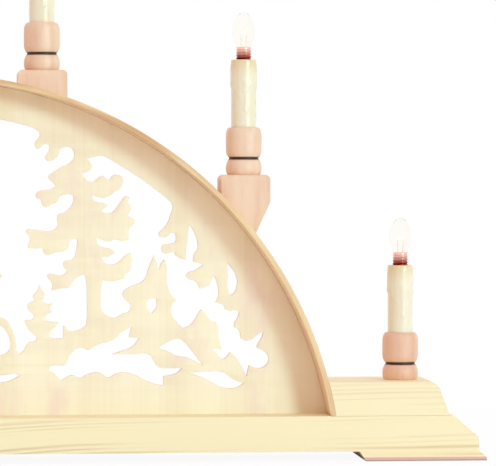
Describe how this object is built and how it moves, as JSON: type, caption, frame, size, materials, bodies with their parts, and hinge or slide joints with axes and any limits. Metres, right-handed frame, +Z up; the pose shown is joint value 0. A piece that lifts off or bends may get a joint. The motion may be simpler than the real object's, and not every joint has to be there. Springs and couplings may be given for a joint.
{
  "type": "electric candle arch",
  "caption": "Electric candle arch: bent wood hoop round a fretwork forest panel on a stepped plinth, with turned holders, dripping candle sleeves and candle bulbs.",
  "frame": {"origin": "middle of the foot print on the table", "axes": "+X to the right along the plinth, +Y to the back, +Z up"},
  "size_m": [0.677, 0.064, 0.3377],
  "materials": {
    "panel_plywood": "sanded, unvarnished birch plywood",
    "hoop_beech": "sanded beech strip with an amber front edge",
    "plinth_pine": "planed spruce or pine, unvarnished",
    "turned_beech": "turned beech with a burnt groove",
    "cover_hardboard": "brown hardboard",
    "wax_plastic": "ivory plastic moulded as dripping wax",
    "socket_plastic": "moulded white plastic",
    "clip_plastic": "moulded off-white plastic",
    "lead_insulation": "flexible white insulation",
    "brass": "bare brass",
    "bulb_brass": "tarnished red brass with a rolled thread",
    "bulb_glass": "clear thin glass",
    "steel": "zinc-plated steel"
  },
  "bodies": {
    "arch": {"arch_hoop": "hoop_beech", "base_board": "plinth_pine", "block_left_high": "turned_beech", "block_left_low": "turned_beech", "block_right_high": "turned_beech", "block_right_low": "turned_beech", "cable_bush": "clip_plastic", "candle_holder_1": "turned_beech", "candle_holder_2": "turned_beech", "candle_holder_3": "turned_beech", "candle_holder_4": "turned_beech", "candle_holder_5": "turned_beech", "candle_holder_6": "turned_beech", "candle_sleeve_1": "wax_plastic", "candle_sleeve_2": "wax_plastic", "candle_sleeve_3": "wax_plastic", "candle_sleeve_4": "wax_plastic", "candle_sleeve_5": "wax_plastic", "candle_sleeve_6": "wax_plastic", "channel_cover": "cover_hardboard", "cover_screws": "steel", "foot_left": "plinth_pine", "foot_right": "plinth_pine", "foot_screws": "steel", "fretwork_panel": "panel_plywood", "lamp_leads": "lead_insulation", "lamp_socket_1": "socket_plastic", "lamp_socket_2": "socket_plastic", "lamp_socket_3": "socket_plastic", "lamp_socket_4": "socket_plastic", "lamp_socket_5": "socket_plastic", "lamp_socket_6": "socket_plastic", "lead_clips": "clip_plastic", "podium_left": "plinth_pine", "podium_right": "plinth_pine", "socket_shells": "brass", "terminal_block": "socket_plastic", "terminal_screws": "steel"},
    "contact_1": {"contact_plunger_1": "brass"},
    "bulb_1": {"bulb_cap_1": "bulb_brass", "bulb_glass_1": "bulb_glass"},
    "contact_2": {"contact_plunger_2": "brass"},
    "bulb_2": {"bulb_cap_2": "bulb_brass", "bulb_glass_2": "bulb_glass"},
    "contact_3": {"contact_plunger_3": "brass"},
    "bulb_3": {"bulb_cap_3": "bulb_brass", "bulb_glass_3": "bulb_glass"},
    "contact_4": {"contact_plunger_4": "brass"},
    "bulb_4": {"bulb_cap_4": "bulb_brass", "bulb_glass_4": "bulb_glass"},
    "contact_5": {"contact_plunger_5": "brass"},
    "bulb_5": {"bulb_cap_5": "bulb_brass", "bulb_glass_5": "bulb_glass"},
    "contact_6": {"contact_plunger_6": "brass"},
    "bulb_6": {"bulb_cap_6": "bulb_brass", "bulb_glass_6": "bulb_glass"}
  },
  "joints": [
    {"name": "contact_1_travel", "type": "slide", "parent": "arch", "child": "contact_1", "axis": [0, 0, 1], "range_m": [0, 0.00271]},
    {"name": "bulb_1_turn", "type": "hinge", "parent": "contact_1", "child": "bulb_1", "pos_m": [-0.28945, 0, 0.1179], "axis": [0, 0, 1], "range_deg": [0, 540]},
    {"name": "contact_2_travel", "type": "slide", "parent": "arch", "child": "contact_2", "axis": [0, 0, 1], "range_m": [0, 0.00271]},
    {"name": "bulb_2_turn", "type": "hinge", "parent": "contact_2", "child": "bulb_2", "pos_m": [-0.19235, 0, 0.24429], "axis": [0, 0, 1], "range_deg": [0, 540]},
    {"name": "contact_3_travel", "type": "slide", "parent": "arch", "child": "contact_3", "axis": [0, 0, 1], "range_m": [0, 0.00271]},
    {"name": "bulb_3_turn", "type": "hinge", "parent": "contact_3", "child": "bulb_3", "pos_m": [-0.06849, 0, 0.30814], "axis": [0, 0, 1], "range_deg": [0, 540]},
    {"name": "contact_4_travel", "type": "slide", "parent": "arch", "child": "contact_4", "axis": [0, 0, 1], "range_m": [0, 0.00271]},
    {"name": "bulb_4_turn", "type": "hinge", "parent": "contact_4", "child": "bulb_4", "pos_m": [0.06849, 0, 0.30814], "axis": [0, 0, 1], "range_deg": [0, 540]},
    {"name": "contact_5_travel", "type": "slide", "parent": "arch", "child": "contact_5", "axis": [0, 0, 1], "range_m": [0, 0.00271]},
    {"name": "bulb_5_turn", "type": "hinge", "parent": "contact_5", "child": "bulb_5", "pos_m": [0.19235, 0, 0.24429], "axis": [0, 0, 1], "range_deg": [0, 540]},
    {"name": "contact_6_travel", "type": "slide", "parent": "arch", "child": "contact_6", "axis": [0, 0, 1], "range_m": [0, 0.00271]},
    {"name": "bulb_6_turn", "type": "hinge", "parent": "contact_6", "child": "bulb_6", "pos_m": [0.28945, 0, 0.1179], "axis": [0, 0, 1], "range_deg": [0, 540]}
  ],
  "couplings": [
    {"joint": "bulb_1_turn", "follows": "contact_1_travel", "rad_per_m": 3471.4},
    {"joint": "bulb_2_turn", "follows": "contact_2_travel", "rad_per_m": 3471.4},
    {"joint": "bulb_3_turn", "follows": "contact_3_travel", "rad_per_m": 3471.4},
    {"joint": "bulb_4_turn", "follows": "contact_4_travel", "rad_per_m": 3471.4},
    {"joint": "bulb_5_turn", "follows": "contact_5_travel", "rad_per_m": 3471.4},
    {"joint": "bulb_6_turn", "follows": "contact_6_travel", "rad_per_m": 3471.4}
  ]
}
